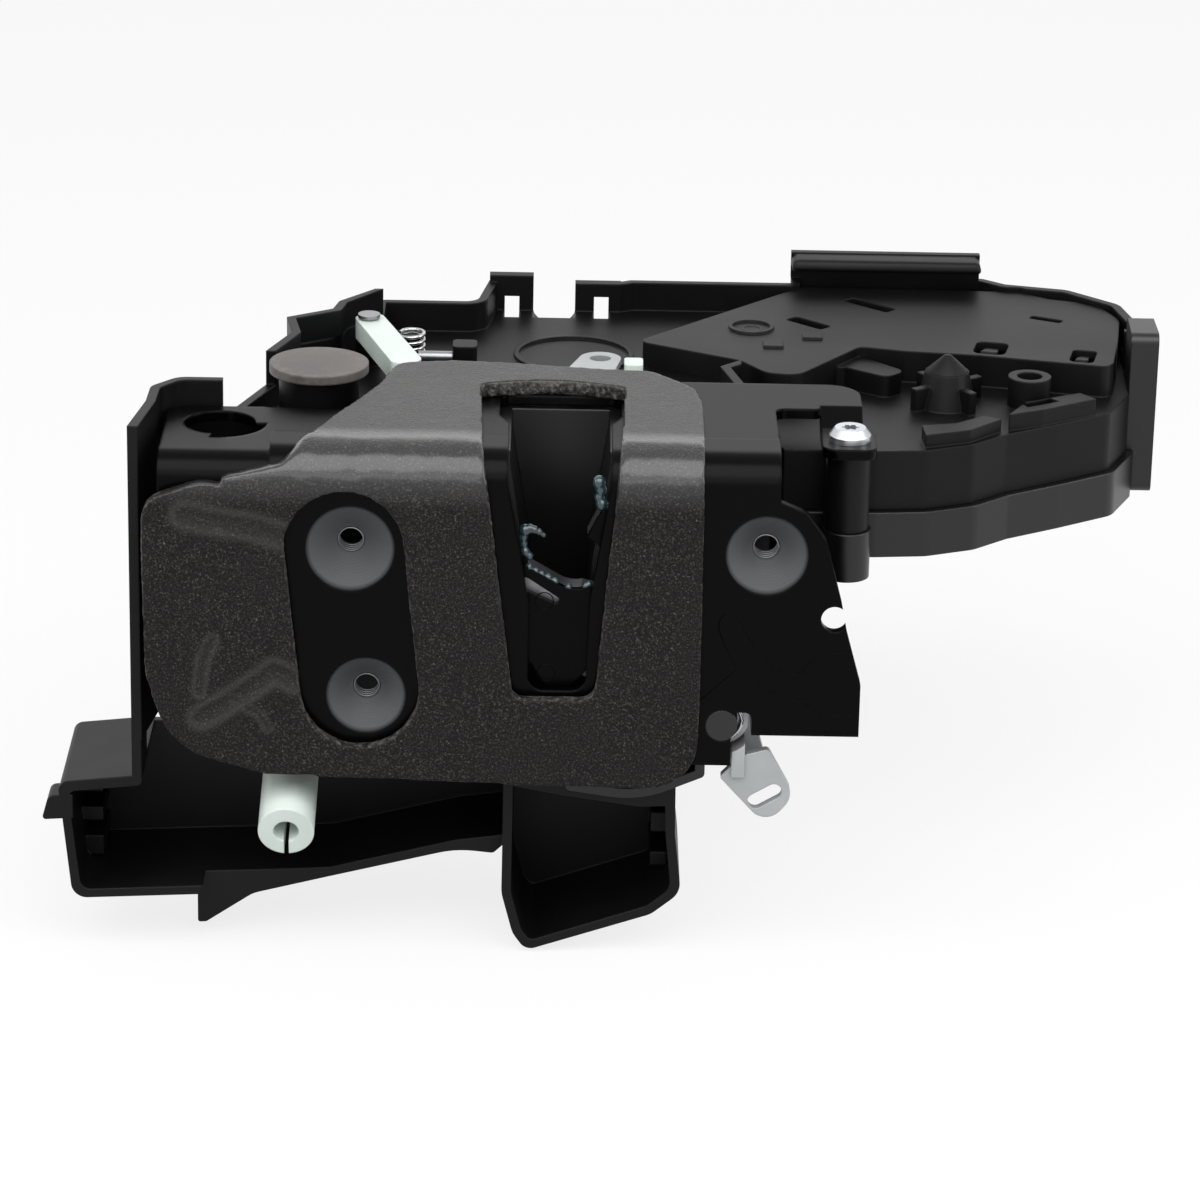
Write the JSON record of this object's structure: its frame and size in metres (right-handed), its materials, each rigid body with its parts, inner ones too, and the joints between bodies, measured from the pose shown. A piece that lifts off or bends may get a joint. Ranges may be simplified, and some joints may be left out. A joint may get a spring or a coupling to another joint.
{
  "type": "vehicle door latch actuator",
  "caption": "Side-door latch with a rotating catch behind a folded steel plate, a foam seal, release levers and a motor-driven lock actuator in black mouldings.",
  "frame": {"origin": "outer face of the steel plate, on the striker mouth's centreline, level with the two upper fixing threads", "axes": "+X along the plate to the right, +Y into the door behind the plate, +Z towards the folded flange, where the striker comes in"},
  "size_m": [0.2146, 0.1299, 0.1045],
  "materials": {
    "black_steel": "glossy black electro-dip paint",
    "foam": "matt closed-cell foam",
    "black_nylon": "satin moulding",
    "hard_steel": "oiled",
    "spring_steel": "bright drawn wire",
    "zinc_steel": "bright zinc plate",
    "black_moulding": "fine-grained moulding",
    "black_rubber": "matt",
    "motor_steel": "plated can",
    "brass": "machined",
    "white_pom": "natural acetal",
    "phosphated_steel": "brown-grey phosphate, rim worn bright"
  },
  "bodies": {
    "latch": {"face_plate": "black_steel", "foam_gasket": "foam", "catch_pin": "hard_steel", "catch_spring": "spring_steel", "pawl_pin": "hard_steel", "pawl_spring": "spring_steel", "back_plate": "zinc_steel", "latch_block": "black_moulding", "striker_stop": "black_rubber", "side_shield": "black_moulding", "carrier": "black_moulding", "actuator_cover": "black_moulding", "actuator_tray": "black_moulding", "motor": "motor_steel", "wheel_pin": "hard_steel", "contact_plate": "brass", "microswitch_1": "black_nylon", "microswitch_2": "black_nylon", "connector": "black_moulding", "connector_pins": "brass", "outside_pin": "hard_steel", "inner_pin": "hard_steel", "stop_bumper": "white_pom", "return_spring": "spring_steel", "blocker_pin": "hard_steel", "rod_pin": "hard_steel", "flange_screw": "zinc_steel", "height_disc": "phosphated_steel", "case_screw_1": "zinc_steel", "case_screw_2": "zinc_steel", "case_screw_3": "zinc_steel"},
    "catch": {"catch_core": "hard_steel", "catch_cover": "black_nylon"},
    "pawl": {"pawl": "hard_steel"},
    "release_lever": {"release_lever": "zinc_steel"},
    "rod_lever": {"rod_lever": "black_nylon", "rod_clip": "white_pom"},
    "outside_lever": {"outside_lever": "white_pom"},
    "inner_lever": {"inner_lever": "zinc_steel"},
    "worm_wheel": {"worm_wheel": "white_pom"},
    "motor_worm": {"motor_worm": "brass"}
  },
  "joints": [
    {"name": "catch_turn", "type": "hinge", "parent": "latch", "child": "catch", "pos_m": [0.018, 0.0055, -0.0115], "axis": [0, -1, 0], "range_deg": [0, 60], "stiffness_Nm_per_rad": 0.05, "springref_deg": -28.65},
    {"name": "release_turn", "type": "hinge", "parent": "latch", "child": "release_lever", "pos_m": [0.031, 0.0097, -0.034], "axis": [0, -1, 0], "range_deg": [0, 11], "stiffness_Nm_per_rad": 0.05, "springref_deg": -17.19},
    {"name": "pawl_turn", "type": "hinge", "parent": "latch", "child": "pawl", "pos_m": [0.031, 0.0063, -0.034], "axis": [0, -1, 0], "range_deg": [0, 11]},
    {"name": "rod_lever_turn", "type": "hinge", "parent": "latch", "child": "rod_lever", "pos_m": [-0.0505, 0.022, -0.038], "axis": [-1, 0, 0], "range_deg": [0, 8], "stiffness_Nm_per_rad": 0.05, "springref_deg": -17.19},
    {"name": "outside_lever_turn", "type": "hinge", "parent": "latch", "child": "outside_lever", "pos_m": [-0.0383, 0.079, 0.0177], "axis": [0, 0, 1], "range_deg": [0, 14], "stiffness_Nm_per_rad": 0.02, "springref_deg": -17.19},
    {"name": "inner_lever_turn", "type": "hinge", "parent": "latch", "child": "inner_lever", "pos_m": [0.004, 0.056, 0.0142], "axis": [0, 0, 1], "range_deg": [0, 12], "stiffness_Nm_per_rad": 0.02, "springref_deg": -17.19},
    {"name": "wheel_turn", "type": "hinge", "parent": "latch", "child": "worm_wheel", "pos_m": [0.0541, 0.1023, -0.0026], "axis": [0, 0, 1], "range_deg": [0, 80]},
    {"name": "worm_turn", "type": "hinge", "parent": "latch", "child": "motor_worm", "pos_m": [0.0541, 0.086, -0.0026], "axis": [1, 0, 0], "range_deg": [0, 2240]}
  ],
  "couplings": [
    {"joint": "pawl_turn", "follows": "release_turn", "ratio": 1},
    {"joint": "worm_turn", "follows": "wheel_turn", "ratio": 28}
  ]
}
